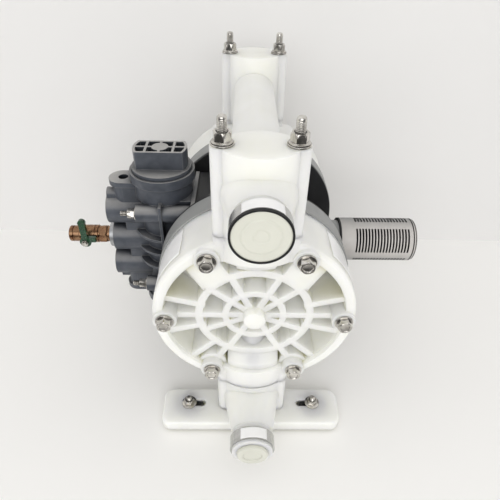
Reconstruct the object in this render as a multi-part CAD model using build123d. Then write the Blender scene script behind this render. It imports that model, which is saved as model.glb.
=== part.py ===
from build123d import *
from math import sin, cos, radians, sqrt
import os

# Air operated double diaphragm pump, in millimetres.
# +Z is up and z = 0 is the floor. The diaphragm shaft lies along Y at height axis_h, the two
# ports point to -Y, the air valve is on the -X side and the silencer on the +X side.

os.makedirs("parts", exist_ok=True)

# ---- driving dimensions ----
axis_h = 168.0           # shaft height above the floor
half_gap = 52.0          # middle plane to an air chamber's inner face
flange_t = 23.0          # depth of an air chamber
flange_r = 98.7          # outer radius of an air chamber
chamber_r = 97.0         # outer radius of a liquid chamber
chamber_t = 55.0         # depth of a liquid chamber
wall = 5.0               # wall of a liquid chamber's dish
pcd_r = 85.0             # radius of the chamber bolts' circle
rib_w = 6.5              # width of a liquid chamber's radial ribs
column_r = 18.0          # outer radius of a vertical flow column
stud_x = 28.0            # manifold studs, either side of a column
lug_r = 9.5              # radius round a manifold stud
tower_r = 24.5           # radius of a manifold's end tower
manifold_h = 78.0        # height of the discharge manifold
suction_h = 53.0         # height of the suction manifold
bridge_r = 23.0          # outer radius of the manifolds' bridge tubes
bore_r = 13.0            # flow bore of the manifolds
neck_r = 20.8            # outer radius of a port neck
neck_out = 59.0          # column axis to the discharge port's face
neck_in = 74.0           # column axis to the suction port's face
port_ring_r = 22.8       # outer radius of the ports' steel rings
port_ring_w = 12.3       # width of the ports' steel rings
port_hole_r = 15.1       # core radius of the ports' pipe thread
thread_len = 14.0        # length of that thread, behind a plain lead-in
ball_r = 10.0            # check ball
ball_lift = 6.0          # travel of a check ball
stroke = 8.0             # shaft travel either side of the middle
shaft_r = 8.0            # diaphragm shaft
disc_r = 38.0            # diaphragm clamping discs
foot_len = 204.0         # foot plate, along X
foot_wid = 46.0          # foot plate, along Y
foot_t = 13.0            # height of the foot plate's skirt
cushion_x = 72.0         # cushion studs, from the middle
valve_x = -97.0          # axis of the air valve's spool
valve_z = 4.0            # middle height of the air valve, above the shaft
valve_half = 85.0        # half height of the air valve body
barrel_r = 30.7          # outer radius of the air valve's barrel
spool_r = 12.0           # radius of the spool's lands
spool_travel = 9.0       # spool travel either side of the middle
stud_y = 31.0            # air valve studs, from the middle plane
stud_dz = 49.0           # air valve studs, above and below valve_z
mate_x = -62.0           # joint face between air valve and centre body
silencer_r = 25.0        # silencer
silencer_x0 = 101.0      # start of the silencer
silencer_len = 87.0      # length of the silencer
cock_r = 10.2            # ball valve body
cock_len = 48.0          # length of the ball valve

# ---- derived positions ----
flange_w = half_gap + flange_t                 # diaphragm plane, from the middle
face_w = flange_w + chamber_t                  # liquid chamber's face
web_w = face_w - 5.0                           # faces of the ribs and rings
seat_w = face_w + 3.3                          # seats of the chamber bolts
column_w = face_w - 8.5                        # axis of the manifold studs
flow_w = column_w - 4.0                        # axis of the check valves and their flow columns
joint_z = chamber_r                            # manifolds' parting planes, from the shaft
top_z = joint_z + manifold_h                   # top of the discharge manifold, from the shaft
bottom_z = joint_z + suction_h                 # bottom of the suction manifold, from the shaft
out_z = joint_z + manifold_h * 0.5             # discharge port, above the shaft
in_z = joint_z + suction_h * 0.55              # suction port, below the shaft
bolt_r = 4.0                                   # M8 fasteners
bolt_hole_r = 4.4
lead = 10.0                                    # lead-in of a port, filled by the cap's plug
parts = {}


def rod_x(r, x0, x1, y=0.0, z=0.0):
    """Cylinder along X from x0 to x1."""
    return Pos(x0, y, z) * Rot(0, 90, 0) * Cylinder(r, x1 - x0, align=(Align.CENTER, Align.CENTER, Align.MIN))


def rod_y(r, y0, y1, x=0.0, z=0.0):
    """Cylinder along Y from y0 to y1."""
    return Pos(x, y0, z) * Rot(-90, 0, 0) * Cylinder(r, y1 - y0, align=(Align.CENTER, Align.CENTER, Align.MIN))


def rod_z(r, z0, z1, x=0.0, y=0.0):
    """Cylinder along Z from z0 to z1."""
    return Pos(x, y, z0) * Cylinder(r, z1 - z0, align=(Align.CENTER, Align.CENTER, Align.MIN))


def tube_z(r, hole, z0, z1, x=0.0, y=0.0):
    """Tube along Z from z0 to z1."""
    return Pos(x, y, z0) * extrude(Circle(r) - Circle(hole), z1 - z0)


def block(x0, x1, y0, y1, z0, z1):
    """Box between two corners."""
    return Pos(x0, y0, z0) * Box(x1 - x0, y1 - y0, z1 - z0, align=(Align.MIN, Align.MIN, Align.MIN))


def hexagon_z(flats, z0, z1):
    """Hexagonal prism along Z, flats across."""
    return Pos(0, 0, z0) * extrude(RegularPolygon(flats / 2, 6, major_radius=False), z1 - z0)


def turned(points):
    """Solid turned about Z from (radius, height) points."""
    return revolve(Plane.XZ * make_face(Polyline(*points, close=True)), Axis.Z)


def hull_plan(middle_r):
    """Outline of a column between its two stud lugs: bowed front and back, rounded ends."""
    end = stud_x + lug_r
    bow = ThreePointArc((-stud_x, lug_r), (0, middle_r), (stud_x, lug_r))
    side = Polyline((stud_x, lug_r), (end, lug_r), (end, -lug_r), (stud_x, -lug_r))
    far_bow = ThreePointArc((stud_x, -lug_r), (0, -middle_r), (-stud_x, -lug_r))
    far_side = Polyline((-stud_x, -lug_r), (-end, -lug_r), (-end, lug_r), (-stud_x, lug_r))
    plan = make_face([bow, side, far_bow, far_side])
    return fillet([v for v in plan.vertices() if abs(v.X) > end - 0.1], lug_r * 0.75)


def front(shape):
    """From the side frame (x, up, outward) to the front half of the pump."""
    return Pos(0, 0, axis_h) * Rot(90, 0, 0) * shape


def rear(shape):
    """The same piece turned half a turn about Z, on the rear half."""
    return Rot(0, 0, 180) * front(shape)


def four(shape):
    """A piece at each of the four manifold studs, from its place at (0, 0)."""
    spots = [(x, y) for x in (-stud_x, stud_x) for y in (-column_w, column_w)]
    return group([Pos(x, y, 0) * shape for x, y in spots])


def group(solids):
    """Equal pieces kept as separate solids."""
    return Compound(children=list(solids))


# ---- liquid chambers, in the side frame: x, up, outward ----
# A dished wall carries a hub, two rings and radial ribs, with open pockets between them. Round it
# stands a deep rim with six bolt bosses, and a flow column with stud lugs at the top and bottom.
dish = [(0, 21.5), (8, 21.5), (disc_r + 6, 20.5), (64, 14), (72, 1.5)]
pocket_r = chamber_r - 10
chamber = turned([(r, flange_w + w) for r, w in dish]
                 + [(72, flange_w), (chamber_r, flange_w), (chamber_r, face_w - 4), (chamber_r - 1.2, face_w - 1.2),
                    (chamber_r - 4, face_w), (pocket_r, face_w), (pocket_r, web_w), (0, web_w)])
above_dish = turned([(0, flange_w + 21.5 + wall), (9, flange_w + 21.5 + wall), (disc_r + 8, flange_w + 20.5 + wall),
                     (66, flange_w + 14 + wall), (80, flange_w + 9), (chamber_r, flange_w + 9),
                     (chamber_r, seat_w + 5), (0, seat_w + 5)])
in_dish = turned([(r + 2, flange_w + w + 2) if r else (0, flange_w + w + 2) for r, w in dish]
                 + [(74, flange_w - 1), (0, flange_w - 1)])
hub_r = 11.0
ring_1 = (24.5, 31.0)
ring_2 = (49.5, 57.0)
pocket_plan = Circle(ring_1[0]) - Circle(hub_r)
pocket_plan += Circle(ring_2[0]) - Circle(ring_1[1])
pocket_plan += Circle(pocket_r - 0.8) - Circle(ring_2[1])
for angle in (0, 39, 65, -23, -62, 180, 141, 115, -157, -118):
    pocket_plan -= Rot(0, 0, angle) * Pos(ring_2[0] / 2, 0) * Rectangle(ring_2[0] + 2, rib_w)
for angle in (0, 15, -15, -44.5, -60, 180, 165, -165, -135.5, -120):
    pocket_plan -= Rot(0, 0, angle) * Pos(chamber_r * 0.75, 0) * Rectangle(chamber_r / 2, rib_w)
for angle, side in ((60, -1), (120, 1)):
    pocket_plan -= Rot(0, 0, angle) * Pos(chamber_r * 0.75, side * 10) * Rectangle(chamber_r * 0.42, 30)
pockets = Pos(0, 0, flange_w) * extrude(pocket_plan, chamber_t + 10) & above_dish
for angle in (-60, -120):
    pockets -= Rot(0, 0, angle) * rod_z(15, flange_w, seat_w + 9, pcd_r - 1)
chamber -= pockets
chamber += rod_z(hub_r - 0.5, web_w - 8, seat_w)
for k in range(6):
    chamber += Rot(0, 0, 60 * k) * rod_z(chamber_r - pcd_r - 0.6, flange_w + 2, seat_w, pcd_r)

# The columns' own frame: Z up from the joint plane, -Y outward. The apron is a column's bowed
# front, which leans back to the outer ring; the passage in it leans the same way to the dish.
seat_t = 9.0
seat_r = 14.2
seat_hole = 7.6
ring_t = 2.0
rest = sqrt(ball_r ** 2 - seat_hole ** 2) + 0.03
cage_h = rest + ball_lift + ball_r + 0.3
neck_h = cage_h + 3.5
lean = 38.0


def apron(half_x):
    """Bowed front of a flow column, from the joint plane to the outer ring."""
    side_y = half_x ** 2 / 96 - column_r
    back_y = column_w - flange_w - 3
    levels = []
    for drop, shift in ((0, 0), (joint_z * 0.31, 6.5), (joint_z - ring_2[1] + 1, 15.0)):
        bow = ThreePointArc((-half_x, side_y + shift), (0, shift - column_r), (half_x, side_y + shift))
        rest_of_it = Polyline((half_x, side_y + shift), (half_x, back_y), (-half_x, back_y), (-half_x, side_y + shift))
        levels.append(Pos(0, 0, -drop) * make_face([bow, rest_of_it]))
    return loft(levels, ruled=True)


passage = Pos(0, 0, -neck_h) * Sphere(bore_r - 1.5)
passage += Pos(0, 0, -neck_h) * Rot(180 + lean, 0, 0) * rod_z(bore_r - 2, 0, neck_h * 1.7)
tunnel = Pos(0, 0, -neck_h) * Sphere(bore_r + 1.6)
tunnel += Pos(0, 0, -neck_h) * Rot(180 + lean, 0, 0) * rod_z(bore_r + 1.2, 0, neck_h * 1.9)
for turn, half_x in ((0, 17.5), (180, 26.3)):
    place = Rot(0, 0, turn) * Pos(0, joint_z, column_w) * Rot(-90, 0, 0)
    inside = Rot(0, 0, turn) * Pos(0, joint_z, flow_w) * Rot(-90, 0, 0)
    chamber += (inside * tunnel & rod_z(chamber_r - 8, flange_w, web_w - 0.6)) - in_dish
    chamber += place * extrude(hull_plan(column_r), -25) - in_dish
    chamber += place * apron(half_x) - in_dish
for turn in (0, 180):
    place = Rot(0, 0, turn) * Pos(0, joint_z, column_w) * Rot(-90, 0, 0)
    inside = Rot(0, 0, turn) * Pos(0, joint_z, flow_w) * Rot(-90, 0, 0)
    chamber -= inside * passage
    for x in (-stud_x, stud_x):
        chamber -= place * rod_z(bolt_r + 0.05, -20, 1, x)
# top: counterbore for the seat and its O-ring; bottom: room for the cage and ball
top_place = Pos(0, joint_z, flow_w) * Rot(-90, 0, 0)
chamber -= top_place * rod_z(seat_r + 0.1, -seat_t - ring_t, 1)
chamber -= top_place * rod_z(bore_r - 2.5, -neck_h, 1)
low_place = Pos(0, -joint_z, flow_w) * Rot(-90, 0, 0)
chamber -= low_place * rod_z(seat_r - 0.8, -1, neck_h - 1)
for k in range(6):
    chamber -= Rot(0, 0, 60 * k) * rod_z(bolt_hole_r, flange_w - 1, seat_w + 1, pcd_r)
bead_r = pcd_r - 6.0
film = 2.6
chamber -= rod_z(bead_r, flange_w - 1, flange_w + film / 2)
parts["liquid_chamber_front"] = front(chamber)
parts["liquid_chamber_rear"] = rear(chamber)

# ---- air chambers: shallow pans closed by the diaphragms ----
floor_t = 4.0
pin_x, pin_up, pin_r = -26.0, 14.0, 3.0
air = rod_z(flange_r, half_gap, flange_w)
air -= turned([(0, half_gap + floor_t), (disc_r + 4, half_gap + floor_t), (66, flange_w - 6), (66, flange_w + 1),
               (0, flange_w + 1)])
air -= rod_z(bead_r, flange_w - film / 2, flange_w + 1)
air -= rod_z(shaft_r + 1, half_gap - 1, flange_w)
air -= rod_z(pin_r + 0.06, half_gap - 1, flange_w, pin_x, pin_up)
for k in range(6):
    air -= Rot(0, 0, 60 * k) * rod_z(bolt_hole_r, half_gap - 1, flange_w + 1, pcd_r)
parts["air_chamber_front"] = front(air)
parts["air_chamber_rear"] = rear(air)

# ---- centre body: hub between two round plates, a seat for the air valve and an exhaust boss ----
plate_t = 4.0
plate_r = flange_r - 0.7
a_z = axis_h + valve_z
gasket_t = 2.0
boss_x = 60.0
body = rod_y(46, -half_gap + 1, half_gap - 1, 0, axis_h)
body += rod_y(plate_r, -half_gap, -half_gap + plate_t, 0, axis_h)
body += rod_y(plate_r, half_gap - plate_t, half_gap, 0, axis_h)
body += block(mate_x + gasket_t, -20, -38, 38, a_z - stud_dz - 12, a_z + stud_dz + 12)
body += rod_x(26, 20, boss_x, 0, axis_h)
bush_r = shaft_r + 2.5
body -= rod_y(bush_r + 0.05, -half_gap - 1, half_gap + 1, 0, axis_h)
body -= rod_x(22.05, boss_x - 16, boss_x + 1, 0, axis_h)
body -= rod_x(12, 30, boss_x, 0, axis_h)
body -= rod_x(12, mate_x, -40, 0, a_z)
for side in (-1, 1):
    y0, y1 = sorted((side * (half_gap - 30), side * (half_gap + 1)))
    body -= rod_y(pin_r + 0.06, y0, y1, -side * pin_x, axis_h + pin_up)
    body -= rod_x(5, mate_x, -40, 0, a_z + side * 28)
    for dz in (-stud_dz, stud_dz):
        body -= rod_x(3.05, mate_x, -38, side * stud_y, a_z + dz)
for k in range(6):
    x, z = pcd_r * cos(radians(60 * k)), pcd_r * sin(radians(60 * k))
    body -= rod_y(bolt_hole_r, -half_gap - 1, -half_gap + plate_t + 1, x, axis_h + z)
    body -= rod_y(bolt_hole_r, half_gap - plate_t - 1, half_gap + 1, x, axis_h + z)
parts["centre_body"] = body

# ---- shaft with its bushes and seals ----
bush = tube_z(bush_r, shaft_r + 0.04, half_gap - 16, half_gap)
parts["shaft_bushes"] = group([front(bush), rear(bush)])
seal = tube_z(bush_r, shaft_r + 0.05, half_gap - 20, half_gap - 16)
parts["shaft_seals"] = group([front(seal), rear(seal)])
disc_t = 7.7
disc_w = flange_w - film / 2 - disc_t
neck = 6.0
half_shaft = rod_z(shaft_r, -1, disc_w) + rod_z(neck, disc_w - 1, flange_w + 7)
parts["diaphragm_shaft"] = front(half_shaft) + rear(half_shaft)
inner = turned([(neck + 0.05, disc_w), (disc_r - 4, disc_w), (disc_r, disc_w + 4), (disc_r, disc_w + disc_t),
                (neck + 0.05, disc_w + disc_t)])
parts["inner_discs"] = group([front(inner), rear(inner)])
outer_w = flange_w + film / 2
outer = turned([(0, outer_w + 8.5), (14, outer_w + 8.5), (disc_r - 3, outer_w + 5), (disc_r, outer_w + 3),
                (disc_r, outer_w), (neck + 0.05, outer_w), (neck + 0.05, flange_w + 7.1), (0, flange_w + 7.1)])
parts["outer_discs"] = group([front(outer), rear(outer)])
lip = film / 2
fold = turned([(neck + 0.1, flange_w - lip), (disc_r + 3, flange_w - lip), (52, flange_w - 7.5),
               (63, flange_w - lip), (bead_r - 0.2, flange_w - lip), (bead_r - 0.2, flange_w + lip),
               (61, flange_w + lip), (52, flange_w - 4.0), (disc_r + 5, flange_w + lip), (neck + 0.1, flange_w + lip)])
parts["diaphragm_front"] = front(fold)
parts["diaphragm_rear"] = rear(fold)

# ---- pilot pins: the inner discs push them in at the end of each stroke ----
pin_tip = disc_w - stroke - 0.2
pin = rod_z(pin_r, half_gap - 24, pin_tip, pin_x, pin_up)
parts["pilot_pin_front"] = front(pin)
parts["pilot_pin_rear"] = rear(pin)

# ---- flange bolts and nuts of the chambers ----
def flange_bolt(z_seat, shank):
    """Flange bolt seen from +Z, its shank going down."""
    bolt = rod_z(8.8, z_seat, z_seat + 1.8) + Pos(0, 0, z_seat) * hexagon_z(12.5, 1.5, 8.0)
    bolt -= rod_z(4.4, z_seat + 7, z_seat + 10)
    return bolt + rod_z(bolt_r, z_seat - shank, z_seat + 1)


bolt = flange_bolt(seat_w, seat_w - half_gap + plate_t + 9)
nut = hexagon_z(12.5, half_gap - plate_t - 6.8, half_gap - plate_t)
nut -= rod_z(bolt_r + 0.05, half_gap - 20, half_gap)
spots = [Rot(0, 0, 60 * k) * Pos(pcd_r, 0, 0) for k in range(6)]
parts["chamber_bolts"] = group([turn(spot * bolt) for turn in (front, rear) for spot in spots])
parts["chamber_nuts"] = group([turn(spot * nut) for turn in (front, rear) for spot in spots])

# ---- check valves: seats, O-rings, cages and balls ----
seat = tube_z(seat_r, seat_hole, 0, seat_t)
ring = tube_z(seat_r - 0.1, seat_r - 2.9, 0, ring_t)
cage = tube_z(seat_r - 0.9, ball_r + 0.1, 0, cage_h) + tube_z(seat_r - 0.9, 6, cage_h - 0.5, cage_h + 2.5)
for turn in (0, 90):
    cage -= Rot(0, 0, turn) * block(-20, 20, -4.5, 4.5, 4, cage_h - 4)
low_z, high_z = axis_h - joint_z, axis_h + joint_z
columns = [Pos(0, -column_w, 0), Pos(0, column_w, 0)]
flows = [Pos(0, -flow_w, 0), Pos(0, flow_w, 0)]
parts["valve_seats"] = group([c * Pos(0, 0, z - seat_t) * seat for c in flows for z in (low_z, high_z)])
parts["seat_o_rings"] = group([c * Pos(0, 0, z - seat_t - ring_t) * ring for c in flows for z in (low_z, high_z)])
parts["ball_cages"] = group([c * Pos(0, 0, z) * cage for c in flows for z in (low_z, high_z)])
for side, c in zip(("front", "rear"), flows):
    parts["suction_ball_" + side] = c * Pos(0, 0, low_z + rest) * Sphere(ball_r)
    parts["discharge_ball_" + side] = c * Pos(0, 0, high_z + rest) * Sphere(ball_r)


# ---- manifolds: two end towers, a bridge tube and the port neck with its steel ring ----
def manifold(z0, z1, port_z, middle_r, neck_len, ball_room):
    """Manifold between heights z0 and z1, port towards -Y."""
    made = rod_y(bridge_r, -column_w, column_w, 0, port_z)
    for c in columns:
        made += c * Pos(0, 0, z0) * extrude(hull_plan(middle_r), z1 - z0)
    made += rod_y(neck_r, -column_w - neck_len, -column_w, 0, port_z)
    tall = min(neck_r + 5, port_z - z0 - 0.9)
    wide = Plane.XZ.offset(column_w + 5) * Pos(0, port_z) * RectangleRounded(2 * stud_x + 6, 2 * tall, tall - 2)
    slim = Plane.XZ.offset(column_w + neck_len * 0.7) * Pos(0, port_z) * Circle(neck_r + 0.6)
    made += loft([wide, slim])
    made -= rod_y(bore_r, -column_w - neck_len, column_w, 0, port_z)
    made -= rod_y(port_hole_r, -column_w - neck_len, -column_w - neck_len + lead + thread_len, 0, port_z)
    made -= rod_y(port_hole_r + 0.5, -column_w - neck_len - 1, -column_w - neck_len + lead, 0, port_z)
    for c, flow in zip(columns, flows):
        made -= flow * ball_room
        for x in (-stud_x, stud_x):
            made -= c * rod_z(bolt_hole_r, z0 - 1, z1 + 1, x)
    return made


out_h = axis_h + out_z
room = rod_z(seat_r - 0.8, high_z - 1, out_h)
parts["discharge_manifold"] = manifold(high_z, axis_h + top_z, out_h, tower_r, neck_out, room)
in_h = axis_h - in_z
room = rod_z(bore_r - 1.5, in_h, low_z + 1) + rod_z(seat_r + 0.1, low_z - seat_t - ring_t, low_z + 1)
parts["suction_manifold"] = manifold(axis_h - bottom_z, low_z, in_h, column_r + 1.5, neck_in, room)
out_y, in_y = -column_w - neck_out, -column_w - neck_in
steel = tube_z(port_ring_r, neck_r + 0.05, 0, port_ring_w)
parts["discharge_port_ring"] = Pos(0, out_y + port_ring_w, out_h) * Rot(90, 0, 0) * steel
parts["suction_port_ring"] = Pos(0, in_y + port_ring_w + 3.7, in_h) * Rot(90, 0, 0) * steel
plug_r = port_hole_r
cap = turned([(0, -lead + 0.5), (plug_r, -lead + 0.5), (plug_r, 0), (neck_r + 0.4, 0), (neck_r + 0.4, 1.7),
              (neck_r - 1, 2.0), (14.5, 1.5), (13.5, 2.1), (6, 1.7), (5, 1.2), (0, 1.2)])
parts["discharge_port_cap"] = Pos(0, out_y, out_h) * Rot(90, 0, 0) * cap
cap_ring = tube_z(port_ring_r - 0.1, neck_r + 0.45, 0, 2.4)
parts["discharge_cap_ring"] = Pos(0, out_y, out_h) * Rot(90, 0, 0) * cap_ring
cap = turned([(0, -lead + 0.5), (plug_r, -lead + 0.5), (plug_r, 0), (15.8, 0), (15.8, 2.4), (15, 3.4), (10, 3.8), (9.2, 2.6), (0, 2.6)])
parts["suction_port_cap"] = Pos(0, in_y, in_h) * Rot(90, 0, 0) * cap

# ---- studs of the discharge manifold, with washers and flange nuts ----
roof = axis_h + top_z
stud = rod_z(bolt_r, high_z - 19.5, roof + 18.5) + Pos(0, 0, roof + 18.5) * Sphere(bolt_r - 0.02)
stud &= block(-9, 9, -9, 9, high_z - 30, roof + 22)
parts["discharge_studs"] = four(stud)
parts["discharge_washers"] = four(tube_z(9.0, bolt_r + 0.1, roof, roof + 1.6))
stud_nut = rod_z(8.2, roof + 1.6, roof + 3.2) + Pos(0, 0, roof) * hexagon_z(12.5, 3, 10.2)
parts["discharge_nuts"] = four(stud_nut - rod_z(bolt_r + 0.05, roof, roof + 12))

# ---- feet with rubber cushions, held to the suction manifold from below ----
foot_z1 = axis_h - bottom_z - 2.0
foot_z0 = foot_z1 - foot_t
foot_y = column_w + 3.5
sheet = 4.0
plan = RectangleRounded(foot_len, foot_wid, 11)
foot = Pos(0, 0, foot_z0) * extrude(plan, foot_t)
foot = chamfer(foot.edges().group_by(Axis.Z)[-1], 1.5)
foot += Pos(0, -3.5, foot_z1 - 1) * extrude(hull_plan(column_r + 1.5), 3)
for side in (-1, 1):
    foot -= rod_z(16.5, foot_z0 - 1, foot_z1 - sheet, side * cushion_x, -3.5)
    foot -= rod_z(9, foot_z0 - 1, foot_z1 - sheet, side * stud_x, -3.5)
    foot -= Pos(side * (cushion_x - 7.5), -3.5, foot_z1 - 8) * extrude(SlotOverall(23.5, 8.5), 12)
    foot -= rod_z(bolt_hole_r, foot_z0, foot_z1 + 3, side * stud_x, -3.5)
parts["foot_front"] = Rot(0, 0, 180) * Pos(0, foot_y, 0) * foot
parts["foot_rear"] = Pos(0, foot_y, 0) * foot
corners = [(x, y) for x in (-cushion_x, cushion_x) for y in (-column_w, column_w)]
tap_h = 5.0
pad = turned([(0, 0), (12.5, 0), (14, 1.5), (14, foot_z1 - sheet - 1), (13, foot_z1 - sheet), (3.05, foot_z1 - sheet),
              (3.05, tap_h + 1), (0, tap_h + 1)]) - rod_z(2.5, -1, tap_h)
parts["foot_cushions"] = group([Pos(x, y, 0) * pad for x, y in corners])
pin_6 = rod_z(3.0, tap_h + 1, foot_z1 + 11)
parts["cushion_studs"] = group([Pos(x, y, 0) * pin_6 for x, y in corners])
nut_6 = rod_z(8.4, foot_z1, foot_z1 + 1.5) + Pos(0, 0, foot_z1) * hexagon_z(10, 1.2, 7)
parts["cushion_nuts"] = group([Pos(x, y, 0) * (nut_6 - rod_z(3.05, foot_z1 - 1, foot_z1 + 9)) for x, y in corners])
head_z = foot_z1 - sheet
low_bolt = hexagon_z(12.5, head_z - 6.5, head_z) + rod_z(bolt_r, head_z - 1, low_z + 18)
parts["suction_bolts"] = four(low_bolt)

# ---- exhaust adaptor, gasket and silencer on +X ----
adaptor = rod_x(22, boss_x - 16, silencer_x0 - gasket_t, 0, axis_h)
adaptor -= rod_x(13.8, boss_x - 17, silencer_x0, 0, axis_h)
parts["exhaust_adaptor"] = adaptor
gasket = rod_x(silencer_r, silencer_x0 - gasket_t, silencer_x0, 0, axis_h)
parts["silencer_gasket"] = gasket - rod_x(14.5, silencer_x0 - 3, silencer_x0 + 1, 0, axis_h)
silencer_x1 = silencer_x0 + silencer_len
collar_x = silencer_x0 + 16.5
end_x = silencer_x1 - 7
shell = rod_x(silencer_r, silencer_x0, end_x, 0, axis_h) + rod_x(13.7, silencer_x0 - 14, silencer_x0 + 1, 0, axis_h)
shell -= rod_x(19.5, silencer_x0 + 6, end_x + 1, 0, axis_h)
shell -= rod_x(11, silencer_x0 - 15, silencer_x0 + 7, 0, axis_h)
slots = 18
pitch = (end_x - collar_x - 1) / slots
wedge = 33.2
fan = [(0, 0)] + [(40 * cos(radians(a)), 40 * sin(radians(a))) for a in (-wedge, 0, wedge)]
sector = make_face(Polyline(*fan, close=True)) & (Circle(silencer_r + 2) - Circle(18))
row = extrude(sector, pitch * 0.56)
cuts = []
for k in range(slots):
    for quarter in (0, 90, 180, 270):
        # zero angle of the sector looks up; the first row is turned towards the front
        cuts.append(Pos(collar_x + pitch * (k + 0.5), 0, axis_h) * Rot(59.3 + quarter, 0, 0) * Rot(0, -90, 0) * row)
shell -= cuts
parts["silencer_body"] = shell
dome = [(0, 0), (19.4, 0), (19.4, 3), (silencer_r, 3), (silencer_r, 5), (silencer_r - 0.9, 5.6), (silencer_r - 0.9, 6.6),
        (silencer_r - 0.4, 7.0), (silencer_r - 3.0, 9.4), (14, 10), (0, 10)]
parts["silencer_end"] = Pos(end_x - 3, 0, axis_h) * Rot(0, 90, 0) * turned(dome)
core = rod_x(18.2, silencer_x0 + 6, end_x - 3, 0, axis_h) - rod_x(12, silencer_x0 + 5, end_x - 8, 0, axis_h)
parts["silencer_core"] = core

# ---- air valve: barrel with collars, bosses, lugs, ring ribs and four stud tubes ----
lug_top = valve_half * 0.887
valve = rod_z(barrel_r - 3.7, -60, 60) + block(0, mate_x - valve_x, -24, 24, -60, 60)
valve += block(mate_x - valve_x - 4, mate_x - valve_x, -40, 40, -stud_dz - 12, stud_dz + 12)
valve += block(-1.5, 1.5, -41, 41, -62, 62) + block(-45, 0, -12, 12, -50, 50)
valve += rod_x(18.1, -61, 0) + rod_x(17.5, -63, 0, 0, 37) + rod_x(17.5, -64.5, 0, 0, -37)
for z in (15, -4, -24):
    valve += rod_z(barrel_r + 5, z - 1.4, z + 1.4)
for side in (-1, 1):
    z0, z1 = sorted((side * 57.9, side * (valve_half - 2)))
    valve += rod_z(barrel_r, z0, z1)
    z0, z1 = sorted((side * (valve_half - 8), side * (valve_half + 2)))
    valve += rod_z(barrel_r + 3.3, z0, z1)
    z0, z1 = sorted((side * (lug_top - 6), side * lug_top))
    valve += rod_z(14, z0, z1, -43.6) + block(-43.6, -20, -14.01, 14.01, z0, z1)
    z0, z1 = sorted((side * 40, side * (lug_top - 5)))
    valve += rod_z(11.5, z0, z1, -43) + block(-43, -10, -11.6, 11.6, z0, z1)
    valve += rod_x(7.5, -62, -30, 0, side * 54.5)
    for dz in (-stud_dz, stud_dz):
        valve += rod_x(9.2, -26, mate_x - valve_x, side * stud_y, dz)
sleeve_r = 19.0
valve -= rod_z(sleeve_r + 0.05, -valve_half - 3, valve_half + 3)
for side in (-1, 1):
    z0, z1 = sorted((side * (valve_half - 2), side * (valve_half + 3)))
    valve -= rod_z(barrel_r + 0.7, z0, z1)
    valve -= rod_z(5.2, *sorted((side * (lug_top - 20), side * (lug_top + 1))), -42.2)
    for dz in (-stud_dz, stud_dz):
        valve -= rod_x(3.3, -27, mate_x - valve_x + 1, side * stud_y, dz)
    valve -= rod_x(5, 0, mate_x - valve_x + 1, 0, side * 28)
valve -= block(mate_x - valve_x, mate_x - valve_x + 10, -45, 45, -70, 70)
valve -= rod_x(12, 0, mate_x - valve_x + 1)
valve -= rod_x(6.6, -62, -45) + rod_x(4.5, -50, 0)
at_valve = Pos(valve_x, 0, a_z)
parts["air_valve_body"] = at_valve * valve
sleeve = tube_z(sleeve_r, spool_r + 0.05, -60, 60)
for z in (-28, 0, 28):
    sleeve -= rod_x(4, -30, 30, 0, z)
parts["valve_sleeve"] = at_valve * sleeve
lands = [(-40, -30), (-8, 8), (30, 40)]
spool = rod_z(spool_r * 0.6, -40, 40)
for z0, z1 in lands:
    spool += rod_z(spool_r, z0, z1)
parts["valve_spool"] = at_valve * spool
head = extrude(Circle(27.7) & Rectangle(60, 28), 19.5)
hollow = Circle(25) & Rectangle(60, 23)
hollow -= Circle(8.6)
hollow -= Rectangle(60, 2.6)
for x in (-14, 0, 14):
    hollow -= Pos(x, 0) * Rectangle(2.6, 40)
head -= Pos(0, 0, 5) * extrude(hollow, 16)
cap = Pos(0, 0, valve_half + 6) * head + rod_z(barrel_r + 0.3, valve_half - 2, valve_half + 6)
cap += rod_z(sleeve_r - 0.3, 60.2, valve_half - 1)
cap -= tube_z(30, sleeve_r - 2.3, 70, 72.6)
parts["valve_cap_upper"] = at_valve * cap
parts["valve_cap_lower"] = at_valve * Rot(180, 0, 0) * cap
o_ring = tube_z(sleeve_r, sleeve_r - 2.25, 70.1, 72.5)
parts["valve_cap_o_rings"] = group([at_valve * o_ring, at_valve * Rot(180, 0, 0) * o_ring])
pad = block(mate_x, mate_x + gasket_t, -38, 38, a_z - stud_dz - 12, a_z + stud_dz + 12)
pad -= rod_x(12, mate_x - 1, mate_x + 3, 0, a_z)
for side in (-1, 1):
    pad -= rod_x(5, mate_x - 1, mate_x + 3, 0, a_z + side * 28)
    for dz in (-stud_dz, stud_dz):
        pad -= rod_x(3.1, mate_x - 1, mate_x + 3, side * stud_y, a_z + dz)
parts["valve_gasket"] = pad
places = [Pos(0, y, a_z + dz) for y in (-stud_y, stud_y) for dz in (-stud_dz, stud_dz)]
seat_x = valve_x - 26.0
parts["valve_studs"] = group([at * rod_x(3.0, seat_x - 17, -39) for at in places])
nut_x = Rot(0, -90, 0) * (rod_z(7.4, 0, 1.6) + hexagon_z(10, 1.4, 9) - rod_z(3.05, -1, 10))
parts["valve_nuts"] = group([at * Pos(seat_x, 0, 0) * nut_x for at in places])

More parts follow.
